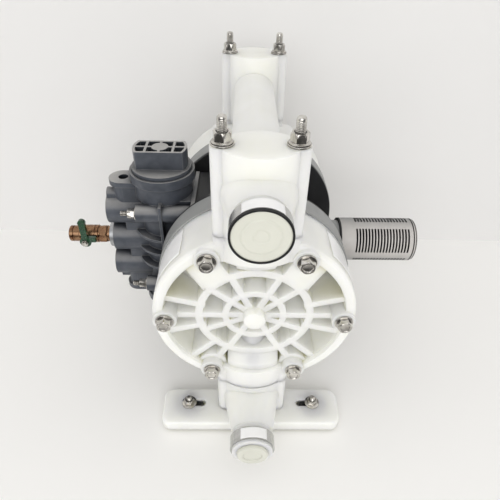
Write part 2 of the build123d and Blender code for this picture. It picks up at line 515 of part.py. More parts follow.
# ---- ball valve on the air inlet ----
inlet_x = valve_x - 61.0
washer_t = 5.0
cock_x1 = inlet_x - washer_t
cock_x0 = cock_x1 - cock_len
stem_x = cock_x0 + cock_len * 0.44
washer = rod_x(14.5, inlet_x - washer_t, inlet_x, 0, a_z)
parts["inlet_washer"] = washer - rod_x(6.7, inlet_x - washer_t - 1, inlet_x + 1, 0, a_z)
split_x = cock_x1 - 15
cock = rod_x(cock_r - 1, cock_x0, cock_x0 + 12, 0, a_z) + rod_x(cock_r, cock_x0 + 10, split_x, 0, a_z)
cock += rod_y(5, -12.5, 0, stem_x, a_z)
gate_r = 7.0
cock -= rod_x(gate_r + 0.06, stem_x, split_x + 1, 0, a_z) + Pos(stem_x, 0, a_z) * Sphere(gate_r + 0.06)
cock -= rod_x(4, cock_x0 - 1, stem_x, 0, a_z) + rod_x(7.4, cock_x0 - 1, cock_x0 + 9, 0, a_z)
cock -= rod_y(2.56, -14, 0, stem_x, a_z)
parts["cock_body"] = cock
tail = Pos(split_x, 0, a_z) * Rot(0, 90, 0) * hexagon_z(18.5, 0, 15)
tail += rod_x(6.5, cock_x1 - 1, inlet_x + 12, 0, a_z)
tail += rod_x(gate_r - 0.1, stem_x + gate_r * 0.75, split_x + 1, 0, a_z)
tail -= rod_x(gate_r * 0.7, stem_x, inlet_x + 13, 0, a_z)
parts["cock_end"] = tail
shut = Pos(stem_x, 0, a_z) * Sphere(gate_r) - rod_z(4, a_z - 10, a_z + 10, stem_x)
parts["cock_ball"] = shut - rod_y(1.5, -8, -5.4, stem_x, a_z)
parts["cock_stem"] = rod_y(2.5, -22, -7.0, stem_x, a_z) + rod_y(1.45, -8, -5.5, stem_x, a_z)
lever = Rot(90, 0, 0) * extrude(Circle(6.4) + Pos(0, 13) * Rectangle(7, 26) + Pos(0, 25.5) * Circle(4)
                                + Pos(7, 3) * Rectangle(10, 6), 4.5)
parts["cock_handle"] = Pos(stem_x, -13.0, a_z) * lever - rod_y(2.55, -30, 0, stem_x, a_z)
lock = Rot(90, 0, 0) * hexagon_z(7, 0, 3) - rod_y(2.55, -9, 9)
parts["handle_nut"] = Pos(stem_x, -17.5, a_z) * lock

for name, shape in parts.items():
    export_step(shape, f"parts/{name}.step")
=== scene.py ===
import bmesh
import bpy
import numpy as np
from mathutils import Matrix, Vector


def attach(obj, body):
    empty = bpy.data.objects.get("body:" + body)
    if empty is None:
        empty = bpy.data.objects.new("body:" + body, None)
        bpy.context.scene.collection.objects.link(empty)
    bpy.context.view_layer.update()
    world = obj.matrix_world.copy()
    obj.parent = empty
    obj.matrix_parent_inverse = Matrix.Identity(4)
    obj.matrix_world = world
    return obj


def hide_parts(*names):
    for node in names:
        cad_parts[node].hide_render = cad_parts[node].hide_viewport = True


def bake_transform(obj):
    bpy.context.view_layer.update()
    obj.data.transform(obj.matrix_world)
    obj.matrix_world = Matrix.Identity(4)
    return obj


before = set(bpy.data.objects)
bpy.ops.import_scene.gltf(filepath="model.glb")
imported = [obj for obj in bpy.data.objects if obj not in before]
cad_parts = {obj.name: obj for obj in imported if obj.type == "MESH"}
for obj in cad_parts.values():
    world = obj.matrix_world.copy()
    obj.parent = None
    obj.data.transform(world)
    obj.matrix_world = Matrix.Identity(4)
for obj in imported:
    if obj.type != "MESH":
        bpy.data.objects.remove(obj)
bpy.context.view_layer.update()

# ---- Centre body ----
# One glass-filled polypropylene moulding, drawn near-black: two round plates joined by a hub. The air
# chambers, the valve and the exhaust bolt on to it, and it carries the shaft's bushes and seals.


def linear(code):
    """Turns an sRGB hex colour to linear light: a channel up to 0.04045 is divided by 12.92, and
    a higher one has 0.055 added, is divided by 1.055 and raised to the power 2.4."""
    c = np.array([int(code[k:k + 2], 16) for k in (0, 2, 4)]) / 255
    light = np.where(c <= 0.04045, c / 12.92, ((c + 0.055) / 1.055) ** 2.4)
    return (*light.tolist(), 1.0)


def add(finish, kind, **settings):
    """Adds one node to a material. A setting is a field of the node or one of its inputs, by its
    name with _ for a space or by its number after i; a value that is a socket is linked to it."""
    node = finish.node_tree.nodes.new("ShaderNode" + kind)
    for name, value in settings.items():
        if hasattr(node, name):
            setattr(node, name, value)
            continue
        socket = node.inputs[int(name[1:])] if name[1:].isdigit() else node.inputs[name.replace("_",
                                                                                                " ")]
        if isinstance(value, bpy.types.NodeSocket):
            finish.node_tree.links.new(value, socket)
        else:
            socket.default_value = value
    return node


def material(name):
    """Starts a node material with an empty tree."""
    finish = bpy.data.materials.new(name)
    finish.use_nodes = True
    finish.node_tree.nodes.clear()
    return finish


def ramp(finish, factor, *stops):
    """Adds a colour ramp over (position, hex colour) stops and gives back its colour output."""
    node = add(finish, "ValToRGB", Fac=factor)
    bar = node.color_ramp.elements
    while len(bar) < len(stops):
        bar.new(0.5)
    for mark, (at, code) in zip(bar, stops):
        mark.position = at
        mark.color = linear(code)
    return node.outputs["Color"]


def coat(finish, *nodes):
    """Gives CAD nodes this material in each of their slots."""
    for name in nodes:
        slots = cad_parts[name].data.materials
        for k in range(len(slots)):
            slots[k] = finish


# Moulded glass-filled polypropylene, a dark grey drawn near-black as painted shade of the narrow gap
# between the chambers: dull, with a fine orange-peel grain of about 0.8 mm.
gap_shaded_pp = material("glass_filled_polypropylene_gap_shaded")
where = add(gap_shaded_pp, "TexCoord").outputs["Object"]
grain = add(gap_shaded_pp, "TexNoise", Vector=where, Scale=1200.0, Detail=3.0)
cloud = add(gap_shaded_pp, "TexNoise", Vector=where, Scale=35.0, Detail=2.0)
edge = add(gap_shaded_pp, "Bevel", samples=4, Radius=0.0008)
bump = add(gap_shaded_pp, "Bump", Strength=0.25, Distance=0.0002, Height=grain.outputs["Fac"],
           Normal=edge.outputs["Normal"])
base = ramp(gap_shaded_pp, cloud.outputs["Fac"], (0.3, "1b1b1d"), (0.7, "262628"))
rough = add(gap_shaded_pp, "MapRange", Value=grain.outputs["Fac"], To_Min=0.45, To_Max=0.62)
shade = add(gap_shaded_pp, "BsdfPrincipled", Base_Color=base, Roughness=rough.outputs["Result"], IOR=1.49,
            Normal=bump.outputs["Normal"])
add(gap_shaded_pp, "OutputMaterial", Surface=shade.outputs["BSDF"])
coat(gap_shaded_pp, "centre_body")

# Turned acetal bushes, white and waxy with faint turning rings every 0.4 mm.
acetal = material("turned_acetal")
where = add(acetal, "TexCoord").outputs["Object"]
rings = add(acetal, "TexWave", wave_type="BANDS", bands_direction="Y", Vector=where, Scale=400.0,
            Distortion=0.5)
bump = add(acetal, "Bump", Strength=0.1, Distance=0.0001, Height=rings.outputs["Fac"])
base = ramp(acetal, rings.outputs["Fac"], (0.0, "e6e6e0"), (1.0, "eeeee9"))
shade = add(acetal, "BsdfPrincipled", Base_Color=base, Roughness=0.35, IOR=1.48,
            Normal=bump.outputs["Normal"])
add(acetal, "OutputMaterial", Surface=shade.outputs["BSDF"])
coat(acetal, "shaft_bushes")

# Nitrile rubber, matt black with a grey bloom in patches of a few millimetres.
rubber = material("nitrile_rubber")
where = add(rubber, "TexCoord").outputs["Object"]
bloom = add(rubber, "TexNoise", Vector=where, Scale=260.0, Detail=4.0)
edge = add(rubber, "Bevel", samples=4, Radius=0.0006)
bump = add(rubber, "Bump", Strength=0.2, Distance=0.0002, Height=bloom.outputs["Fac"],
           Normal=edge.outputs["Normal"])
base = ramp(rubber, bloom.outputs["Fac"], (0.35, "141415"), (0.75, "232325"))
shade = add(rubber, "BsdfPrincipled", Base_Color=base, Roughness=0.7, IOR=1.52,
            Normal=bump.outputs["Normal"])
add(rubber, "OutputMaterial", Surface=shade.outputs["BSDF"])
coat(rubber, "shaft_seals", "seat_o_rings", "valve_cap_o_rings", "silencer_gasket", "valve_gasket")

# ---- Diaphragm shaft with its discs and diaphragms ----
# A turned stainless shaft joins the two diaphragms. Each is a PTFE-faced sheet clamped between
# an inner and an outer disc of cast aluminium, and held at its rim between the two chambers.

# Turned stainless steel: bright, with circular tool marks about 0.3 mm apart.
turned_steel = material("turned_stainless_steel")
where = add(turned_steel, "TexCoord").outputs["Object"]
marks = add(turned_steel, "TexWave", bands_direction="Y", Vector=where, Scale=520.0, Distortion=1.0)
bump = add(turned_steel, "Bump", Strength=0.08, Distance=0.0001, Height=marks.outputs["Fac"])
base = ramp(turned_steel, marks.outputs["Fac"], (0.0, "b4b1ab"), (1.0, "c6c3bd"))
shade = add(turned_steel, "BsdfPrincipled", Base_Color=base, Metallic=1.0, Roughness=0.22,
            Normal=bump.outputs["Normal"])
add(turned_steel, "OutputMaterial", Surface=shade.outputs["BSDF"])
coat(turned_steel, "diaphragm_shaft", "pilot_pin_front", "pilot_pin_rear")

# Cast aluminium, blasted: a soft grey metal with a 0.6 mm grain. The inlet's washer is shown in
# this finish as well, although its slot is PTFE.
aluminium = material("blasted_cast_aluminium")
where = add(aluminium, "TexCoord").outputs["Object"]
grit = add(aluminium, "TexNoise", Vector=where, Scale=1500.0, Detail=3.0)
bump = add(aluminium, "Bump", Strength=0.3, Distance=0.0002, Height=grit.outputs["Fac"])
base = ramp(aluminium, grit.outputs["Fac"], (0.3, "a9aaac"), (0.7, "bfc0c2"))
shade = add(aluminium, "BsdfPrincipled", Base_Color=base, Metallic=1.0, Roughness=0.42,
            Normal=bump.outputs["Normal"])
add(aluminium, "OutputMaterial", Surface=shade.outputs["BSDF"])
coat(aluminium, "inner_discs", "outer_discs", "valve_sleeve", "valve_spool", "inlet_washer")

# Moulded PTFE: waxy white, a little mottled over 10 mm.
ptfe = material("moulded_ptfe")
where = add(ptfe, "TexCoord").outputs["Object"]
mottle = add(ptfe, "TexNoise", Vector=where, Scale=110.0, Detail=2.0)
base = ramp(ptfe, mottle.outputs["Fac"], (0.3, "ecebe6"), (0.7, "f4f4f1"))
edge = add(ptfe, "Bevel", samples=4, Radius=0.0006)
shade = add(ptfe, "BsdfPrincipled", Base_Color=base, Roughness=0.4, IOR=1.38,
            Normal=edge.outputs["Normal"])
add(ptfe, "OutputMaterial", Surface=shade.outputs["BSDF"])
coat(ptfe, "suction_ball_front", "suction_ball_rear", "discharge_ball_front", "discharge_ball_rear")


def skin(name, points, finish, body, nodes=(), ring=True):
    """Makes a mesh of a (copies, rows, columns, 3) array of points in millimetres. Each point joins
    to the next in its row and in its column; with ring, the last column joins to the first."""
    copies, rows, columns, _ = points.shape
    number = np.arange(copies * rows * columns).reshape(copies, rows, columns)
    next_one = np.roll(number, -1, 2)
    last = columns if ring else columns - 1
    quads = np.stack([number[:, :-1], next_one[:, :-1], next_one[:, 1:], number[:, 1:]], -1)
    quads = quads[:, :, :last].reshape(-1, 4)
    mesh = bpy.data.meshes.new(name)
    mesh.from_pydata((points.reshape(-1, 3) * 0.001).tolist(), [], quads.tolist())
    work = bmesh.new()
    work.from_mesh(mesh)
    bmesh.ops.remove_doubles(work, verts=work.verts, dist=2e-6)
    bmesh.ops.recalc_face_normals(work, faces=work.faces)
    work.to_mesh(mesh)
    work.free()
    mesh.polygons.foreach_set("use_smooth", np.ones(len(mesh.polygons), bool))
    mesh.set_sharp_from_angle(angle=0.6)
    mesh.materials.append(finish)
    piece = bpy.data.objects.new(name, mesh)
    bpy.context.scene.collection.objects.link(piece)
    if body:
        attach(piece, body)
    if nodes:
        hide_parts(*nodes)
    return piece


# At radius r the sheet's middle lies at clamp_y less a fold, deep (1 + cos(pi (r - fold_r) / wide)) / 2
# within wide of fold_r.
shaft_z = 168
hole_r, rim_r, clamp_y = 6.1, 78.8, 75
fold_r, wide, deep = 52, 11.5, 5.75
half_thick, fold_extra = 1.3, 0.45
for end, side in (("front", -1), ("rear", 1)):
    r = np.concatenate([[hole_r], np.linspace(40, 64, 25), [rim_r]])
    fold = deep * (1 + np.cos(np.pi * np.clip((r - fold_r) / wide, -1, 1))) / 2
    half_sheet = half_thick + fold_extra * fold / deep
    middle = clamp_y - fold
    out = np.concatenate([middle - half_sheet, (middle + half_sheet)[::-1], [clamp_y - half_thick]])[:,
                                                                                                     None]
    radius = np.concatenate([r, r[::-1], r[:1]])[:, None]
    angle = np.radians(np.arange(0, 360, 4))
    sheet = np.stack([radius * np.cos(angle), side * out + 0 * angle, shaft_z + radius * np.sin(angle)],
                     -1)[None]
    piece = skin("diaphragm_sheet_" + end, sheet, ptfe, None, ["diaphragm_" + end])
    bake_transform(piece)

# ---- Air chambers ----
# Two grey polypropylene rings, drawn lighter with painted top light, bolted between the centre plates and
# the white chambers. They hold the diaphragms' air side and show as a grey rim behind each white rim.

# Moulded polypropylene, a dark grey drawn mid grey with painted top light and sheen: satin, with a 1 mm
# moulded grain and slight flow clouds.
grey_pp = material("grey_moulded_polypropylene")
where = add(grey_pp, "TexCoord").outputs["Object"]
grain = add(grey_pp, "TexNoise", Vector=where, Scale=1000.0, Detail=3.0)
cloud = add(grey_pp, "TexNoise", Vector=where, Scale=40.0, Detail=3.0)
edge = add(grey_pp, "Bevel", samples=4, Radius=0.0007)
bump = add(grey_pp, "Bump", Strength=0.2, Distance=0.0002, Height=grain.outputs["Fac"],
           Normal=edge.outputs["Normal"])
base = ramp(grey_pp, cloud.outputs["Fac"], (0.3, "8e8f8f"), (0.7, "9b9c9b"))
rough = add(grey_pp, "MapRange", Value=grain.outputs["Fac"], To_Min=0.36, To_Max=0.5)
shade = add(grey_pp, "BsdfPrincipled", Base_Color=base, Roughness=rough.outputs["Result"], IOR=1.49,
            Normal=bump.outputs["Normal"])
add(grey_pp, "OutputMaterial", Surface=shade.outputs["BSDF"])
coat(grey_pp, "air_chamber_front", "air_chamber_rear")

# ---- Liquid chambers ----
# Each is one natural polypropylene moulding: a ribbed, pocketed disc with the flow columns above
# and below it. Three ring ribs and twelve radial ribs stiffen its face.

# Natural polypropylene: milky and translucent, so light spreads far through it, with fine 1 mm grain. Its
# narrowest corners carry a yellowish painted shade, and the two upper outer pockets of each chamber carry
# an olive painted shade and pass less light: within 34 mm of the shade's middle, where walls stand close.
white_pp = material("natural_moulded_polypropylene")
where = add(white_pp, "TexCoord").outputs["Object"]
grain = add(white_pp, "TexNoise", Vector=where, Scale=900.0, Detail=2.0)
cloud = add(white_pp, "TexNoise", Vector=where, Scale=22.0, Detail=3.0)
edge = add(white_pp, "Bevel", samples=4, Radius=0.0014)
bump = add(white_pp, "Bump", Strength=0.06, Distance=0.0002, Height=grain.outputs["Fac"],
           Normal=edge.outputs["Normal"])
milk = ramp(white_pp, cloud.outputs["Fac"], (0.3, "ecece5"), (0.7, "f2f2ed"))
# Painted shade: where walls stand within 8 mm the colour goes darker and yellowish.
depth = add(white_pp, "AmbientOcclusion", samples=6, Distance=0.008)
unshaded = add(white_pp, "MapRange", Value=depth.outputs["AO"], From_Min=0.05, From_Max=0.45)
tint = add(white_pp, "Mix", data_type="RGBA", Factor=unshaded.outputs["Result"], i6=linear("c9c8a6"),
           i7=milk)
# Painted shade: an olive patch in the deep part of each upper outer pocket, on both sides of both
# chambers, where walls stand within 25 mm.
shade_patch_at, shade_patch_reach, shade_patch_full = (0.068, 0.115, 0.216), 0.034, 0.014
mirrored = add(white_pp, "VectorMath", operation="ABSOLUTE", i0=where)
away = add(white_pp, "VectorMath", operation="DISTANCE", i0=mirrored.outputs["Vector"], i1=shade_patch_at)
in_shade_patch = add(white_pp, "MapRange", Value=away.outputs["Value"], From_Min=shade_patch_reach,
              From_Max=shade_patch_full)
walled = add(white_pp, "AmbientOcclusion", samples=6, Distance=0.025)
sunk = add(white_pp, "MapRange", Value=walled.outputs["AO"], From_Min=0.85, From_Max=0.55)
olive = add(white_pp, "Math", operation="MULTIPLY", i0=in_shade_patch.outputs["Result"],
            i1=sunk.outputs["Result"])
tint = add(white_pp, "Mix", data_type="RGBA", Factor=olive.outputs["Value"], i6=tint.outputs[2],
           i7=linear("c0ba88"))
glow = add(white_pp, "MapRange", Value=olive.outputs["Value"], To_Min=0.9, To_Max=0.1)
shade = add(white_pp, "BsdfPrincipled", Base_Color=tint.outputs[2], Roughness=0.36, IOR=1.49,
            Normal=bump.outputs["Normal"], Subsurface_Weight=glow.outputs["Result"],
            Subsurface_Radius=(1.0, 1.0, 0.88), Subsurface_Scale=0.018)
add(white_pp, "OutputMaterial", Surface=shade.outputs["BSDF"])
coat(white_pp, "liquid_chamber_front", "liquid_chamber_rear", "valve_seats", "ball_cages")


# Printed-label film, blank: glossy white vinyl, 0.15 mm thick, with a faint ripple.
label_film = material("blank_vinyl_label")
where = add(label_film, "TexCoord").outputs["Object"]
ripple = add(label_film, "TexNoise", Vector=where, Scale=90.0, Detail=2.0)
bump = add(label_film, "Bump", Strength=0.1, Distance=0.0003, Height=ripple.outputs["Fac"])
base = ramp(label_film, ripple.outputs["Fac"], (0.3, "f3f3f3"), (0.7, "f8f8f8"))
shade = add(label_film, "BsdfPrincipled", Base_Color=base, Roughness=0.28, IOR=1.5,
            Normal=bump.outputs["Normal"])
add(label_film, "OutputMaterial", Surface=shade.outputs["BSDF"])


def label(name, radius, angles, reach, height, body):
    """A bent sheet on a cylinder along Y: its points are (radius cos a, w, height + radius sin a),
    with a running over the label's angles and w along the cylinder."""
    a, w = np.meshgrid(np.radians(np.linspace(*angles, 40)), np.linspace(*reach, 12))
    sheet = np.stack([radius * np.cos(a), w, height + radius * np.sin(a)], -1)[None]
    made = skin(name, sheet, label_film, body, ring=False)
    shell = made.modifiers.new("thickness", "SOLIDIFY")
    shell.thickness = 0.00015
    shell.offset = 1.0
    return made


for end, angles in (("left", (134, 176)), ("right", (4, 46))):
    label("blank_label_" + end, radius=97.12, angles=angles, reach=(-119, -80), height=shaft_z,
          body="pump")

# ---- Chamber bolts and nuts ----
# Twelve stainless M8 bolts clamp each white chamber and grey ring to its centre plate. Their flanged
# hexagon heads sit on the round bosses, and plain nuts sit on the plates' inner side.

# Stainless steel of cold-formed fasteners: bright and a little warm, with faint streaks, and with
# near-black brown painted shade in the corners of threads and flanges.
fastener = material("cold_formed_stainless_steel")
where = add(fastener, "TexCoord").outputs["Object"]
streak = add(fastener, "TexNoise", Vector=where, Scale=170.0, Detail=3.0)
edge = add(fastener, "Bevel", samples=4, Radius=0.0003)
bump = add(fastener, "Bump", Strength=0.06, Distance=0.0001, Height=streak.outputs["Fac"],
           Normal=edge.outputs["Normal"])
metal = ramp(fastener, streak.outputs["Fac"], (0.3, "b3afa8"), (0.7, "e6e3dd"))
# Painted shade: where walls stand within 5 mm the metal goes near-black brown.
depth = add(fastener, "AmbientOcclusion", samples=6, Distance=0.005)
unshaded = add(fastener, "MapRange", Value=depth.outputs["AO"], From_Min=0.35, From_Max=0.8)
tint = add(fastener, "Mix", data_type="RGBA", Factor=unshaded.outputs["Result"], i6=linear("1d1713"),
           i7=metal)
rough = add(fastener, "MapRange", Value=streak.outputs["Fac"], To_Min=0.12, To_Max=0.24)
shade = add(fastener, "BsdfPrincipled", Base_Color=tint.outputs[2], Metallic=1.0,
            Roughness=rough.outputs["Result"], Normal=bump.outputs["Normal"])
add(fastener, "OutputMaterial", Surface=shade.outputs["BSDF"])


def hexagonal(flats, stations):
    """A head or nut about Z, as rows of points at (radius, height, six) stations. The radius is the
    station's own, or where six is 1 the smaller of it and flats / 2 / cos(angle off a flat). A turned
    piece has no six, so its flats play no part."""
    angle = np.radians(np.arange(0, 360, 5))
    six_sided = flats / 2 / np.cos((angle + np.pi / 6) % (np.pi / 3) - np.pi / 6)
    r, z, six = np.array(stations, float).T[..., None]
    radius = np.where(six > 0, np.minimum(r, six_sided), r)
    return np.stack([radius * np.cos(angle), radius * np.sin(angle), z + 0 * angle], -1)


def stand(shape, spots, axis, turns=(0,)):
    """Copies a (rows, columns, 3) shape to each spot: turned about its own Z by the turns in order,
    then its Z laid along axis, as p = x X + y Y + z axis + spot."""
    z = np.array(axis, float)
    x = np.roll(z, 1)
    y = np.cross(z, x)
    spots = np.array(spots, float)
    t = np.radians(np.resize(turns, len(spots)))[:, None, None]
    across = shape[..., 0] * np.cos(t) - shape[..., 1] * np.sin(t)
    along = shape[..., 0] * np.sin(t) + shape[..., 1] * np.cos(t)
    lift = shape[..., 2] + 0 * t
    return across[..., None] * x + along[..., None] * y + lift[..., None] * z + spots[:, None, None]


bolt_circle_r, seat_y, plate_y = 85, 133.3, 40
around = np.radians(np.arange(0, 360, 60))
turned_by = (8, 21, -13, 30, 2, 17)
for side, end in ((-1, "front"), (1, "rear")):
    spots = np.stack([bolt_circle_r * np.cos(around), 0 * around,
                      shaft_z + bolt_circle_r * np.sin(around)], -1)
    # shank, flange, hexagon with chamfered crown, and the dished recess in its top
    head = hexagonal(12.5, [(0, -90, 0), (3.9, -90, 0), (3.9, 0, 0), (8.5, 0, 0), (8.8, 0.3, 0),
                            (8.8, 0.9, 0), (8.3, 1.6, 0), (7.3, 1.9, 1), (7.3, 6.8, 1), (6.7, 7.5, 1),
                            (6.0, 8.0, 0), (4.7, 8.0, 0), (4.3, 7.7, 0), (3.9, 7.0, 0), (2.2, 6.8, 0),
                            (0, 6.8, 0)])
    seats = spots + (0, side * seat_y, 0)
    skin("chamber_bolt_heads_" + end, stand(head, seats, (0, side, 0), turned_by), fastener, "pump",
         ["chamber_bolts"])
    nut = hexagonal(12.5, [(4.1, -0.1, 0), (6.2, -0.1, 1), (7.3, -0.9, 1), (7.3, -5.9, 1),
                           (6.2, -6.7, 1), (4.4, -6.7, 0), (4.1, -6.3, 0), (4.1, -0.1, 0)])
    plates = spots + (0, side * plate_y, 0)
    skin("chamber_nuts_" + end, stand(nut, plates, (0, side, 0), turned_by), fastener, "pump",
         ["chamber_nuts"])

# ---- Manifolds ----
# Two natural polypropylene mouldings carry the liquid: the discharge manifold on top and the
# suction manifold below. Each has a port facing the front with a pressed stainless band round it.
coat(white_pp, "discharge_manifold", "suction_manifold")

# The thin port caps are taken to be the same polypropylene with a little pigment, so that light
# stays near their surface. Their tone is written darker than it renders, as they face the lamp.
cap_pp = white_pp.copy()
cap_pp.name = "pigmented_moulded_polypropylene"
shader = next(n for n in cap_pp.node_tree.nodes if n.bl_idname == "ShaderNodeBsdfPrincipled")
cap_pp.node_tree.links.remove(shader.inputs["Subsurface Weight"].links[0])
shader.inputs["Subsurface Weight"].default_value = 0.15
shader.inputs["Subsurface Scale"].default_value = 0.002
tones = next(n for n in cap_pp.node_tree.nodes if n.bl_idname == "ShaderNodeValToRGB").color_ramp.elements
tones[0].color = linear("cfcfc4")
tones[1].color = linear("d6d6cb")
coat(cap_pp, "discharge_port_cap", "suction_port_cap")

# Rolled stainless band: brushed round its length, with streaks about 0.2 mm wide.
band_steel = material("brushed_stainless_band")
where = add(band_steel, "TexCoord").outputs["Object"]
thin = add(band_steel, "Mapping", Vector=where, Scale=(60.0, 2600.0, 60.0))
brush = add(band_steel, "TexNoise", Vector=thin.outputs["Vector"], Scale=1.0, Detail=4.0)
bump = add(band_steel, "Bump", Strength=0.1, Distance=0.0001, Height=brush.outputs["Fac"])
base = ramp(band_steel, brush.outputs["Fac"], (0.25, "b0b0ad"), (0.75, "d2d2d0"))
shade = add(band_steel, "BsdfPrincipled", Base_Color=base, Metallic=1.0, Roughness=0.24,
            Normal=bump.outputs["Normal"])
add(band_steel, "OutputMaterial", Surface=shade.outputs["BSDF"])
coat(band_steel, "discharge_port_ring", "suction_port_ring")
coat(rubber, "discharge_cap_ring")
label("blank_label_discharge", radius=22.92, angles=(48, 127), reach=(-180.0, -168.6), height=304.0,
      body="pump")
label("blank_label_suction", radius=22.92, angles=(52, 122), reach=(-191.3, -180.2), height=41.85,
      body="pump")

# ---- Studs, washers and nuts of the discharge manifold ----
# Four stainless M8 studs tie the discharge manifold to the chambers. Each has a plain washer
# and a flanged nut, and its domed, threaded end stands about 12 mm out of the nut.


def threaded(outline, pitch, depth):
    """A rod about Z through (radius, height, thread) points. At height z and angle a its radius is
    r - depth thread |2 frac(z / pitch - a / turn) - 1|, with r and thread read off the outline."""
    r, z, t = np.array(outline, float).T
    fine = np.arange(z[0], z[-1], pitch / 6)
    height = np.unique(np.concatenate([z, fine[np.interp(fine, z, t) > 0]]))[:, None]
    angle = np.radians(np.arange(0, 360, 15))
    saw = np.abs(2 * ((height / pitch - angle / (2 * np.pi)) % 1) - 1)
    radius = np.interp(height, z, r) - depth * np.interp(height, z, t) * saw
    radius[[0, -1]] = 0
    rod = np.stack([radius * np.cos(angle), radius * np.sin(angle), height + 0 * angle], -1)
    return rod


tower_y, stud_x = 121.5, 28
corners = np.array([(x, y, 0) for y in (-tower_y, tower_y) for x in (-stud_x, stud_x)], float)
rod = threaded([(0, 245.5, 0), (3.2, 245.51, 0), (4, 246.5, 1), (4, 262, 1), (4, 263, 0), (4, 350, 0),
                (4, 351, 1), (4, 361.2, 1), (3.9, 362, 0.3), (3.5, 363.6, 0), (2.7, 364.5, 0),
                (1.4, 364.95, 0), (0, 365, 0)], 1.25, 0.62)
skin("discharge_stud_rods", stand(rod, corners, (0, 0, 1), (0, 40, 200, 110)), fastener, "pump",
     ["discharge_studs"])
washer = hexagonal(17, [(4.2, 343, 0), (8.7, 343, 0), (9, 343.3, 0), (9, 344.3, 0), (8.7, 344.6, 0),
                        (4.3, 344.6, 0), (4.2, 343, 0)])
skin("discharge_plain_washers", stand(washer, corners, (0, 0, 1)), fastener, "pump",
     ["discharge_washers"])
nut = hexagonal(12.5, [(4.1, 344.6, 0), (8, 344.6, 0), (8.2, 345, 0), (8.1, 345.6, 0), (7.4, 346.3, 1),
                       (7.4, 352.2, 1), (6.2, 353.2, 1), (4.7, 353.2, 0), (4.1, 352.7, 0),
                       (4.1, 344.6, 0)])
skin("discharge_flange_nuts", stand(nut, corners, (0, 0, 1), (12, 34, 20, 5)), fastener, "pump",
     ["discharge_nuts"])
coat(fastener, "suction_bolts")

# ---- Feet ----
# Two natural polypropylene foot plates, each with two slotted holes. A nitrile rubber cushion
# under each slot has an M6 stainless stud, which a flanged nut holds at the slot's outer end.
coat(white_pp, "foot_front", "foot_rear")
coat(rubber, "foot_cushions")
cushion_x = 72
corners = np.array([(x, y, 0) for y in (-tower_y, tower_y) for x in (-cushion_x, cushion_x)], float)
rod = threaded([(0, 6, 0), (2.6, 6.01, 0), (3, 7, 0), (3, 21, 0), (3, 22, 1), (3, 25.6, 1),
                (2.8, 26.2, 0.2), (2.2, 26.8, 0), (0, 27, 0)], 1.0, 0.5)
skin("cushion_stud_rods", stand(rod, corners, (0, 0, 1), (0, 90, 45, 10)), fastener, "pump",
     ["cushion_studs"])
nut = hexagonal(10, [(3.1, 16, 0), (8.2, 16, 0), (8.4, 16.4, 0), (8.2, 17.1, 0), (6, 17.7, 1),
                     (6, 22.2, 1), (5, 23, 1), (3.5, 23, 0), (3.1, 22.6, 0), (3.1, 16, 0)])
skin("cushion_flange_nuts", stand(nut, corners, (0, 0, 1), (25, 8, 15, 0)), fastener, "pump",
     ["cushion_nuts"])

# ---- Exhaust adaptor and silencer ----
# The grey adaptor turns the exhaust out of the centre body. The silencer on it is a slotted grey
# polypropylene tube with a bonded porous plastic core inside and an end cap welded on.
coat(grey_pp, "exhaust_adaptor")

# Moulded polypropylene, light warm grey, a little glossier than the adaptor. Near-black painted shade
# fills the slots and grooves. Faces are drawn greyer as they turn away from one fixed direction, forwards
# and up, whatever the light: a shade painted on, and not a stain.
silencer_pp = material("light_grey_moulded_polypropylene")
where = add(silencer_pp, "TexCoord").outputs["Object"]
cloud = add(silencer_pp, "TexNoise", Vector=where, Scale=60.0, Detail=3.0)
grain = add(silencer_pp, "TexNoise", Vector=where, Scale=1100.0, Detail=2.0)
edge = add(silencer_pp, "Bevel", samples=4, Radius=0.0004)
bump = add(silencer_pp, "Bump", Strength=0.12, Distance=0.0002, Height=grain.outputs["Fac"],
           Normal=edge.outputs["Normal"])
upper = ramp(silencer_pp, cloud.outputs["Fac"], (0.3, "bdb9b5"), (0.7, "cbc7c3"))
facing = add(silencer_pp, "NewGeometry")
front_and_up = (0.0, -0.87, 0.5)
turned = add(silencer_pp, "VectorMath", operation="DOT_PRODUCT", i0=facing.outputs["Normal"],
             i1=front_and_up)
facing_front = add(silencer_pp, "MapRange", Value=turned.outputs["Value"], From_Min=0.25, From_Max=0.95)
surface_tone = add(silencer_pp, "Mix", data_type="RGBA", Factor=facing_front.outputs["Result"],
            i6=linear("8e8e8d"), i7=upper).outputs[2]
# Painted shade: where walls stand within 4 mm, in the slots and grooves, the colour goes near-black.
depth = add(silencer_pp, "AmbientOcclusion", samples=6, Distance=0.004)
unshaded = add(silencer_pp, "MapRange", Value=depth.outputs["AO"], From_Min=0.4, From_Max=0.7)
base = add(silencer_pp, "Mix", data_type="RGBA", Factor=unshaded.outputs["Result"], i6=linear("141110"),
           i7=surface_tone)
shade = add(silencer_pp, "BsdfPrincipled", Base_Color=base.outputs[2], Roughness=0.34, IOR=1.49,
            Normal=bump.outputs["Normal"])
add(silencer_pp, "OutputMaterial", Surface=shade.outputs["BSDF"])
coat(silencer_pp, "silencer_body")
all_round = 99
cap = hexagonal(all_round, [(0, 178, 0), (19.4, 178, 0), (19.4, 181, 0), (25, 181, 0), (25, 182.5, 0),
                            (23.4, 182.8, 0), (23.4, 183.7, 0), (24.9, 184, 0), (24.9, 185.2, 0),
                            (23.4, 185.5, 0), (23.4, 186.2, 0), (24.2, 186.5, 0), (23.6, 187.3, 0),
                            (21.5, 187.9, 0), (14, 188, 0), (0, 188, 0)])
skin("silencer_end_cap", stand(cap, [(0, 0, shaft_z)], (1, 0, 0)), silencer_pp, "pump",
     ["silencer_end"])
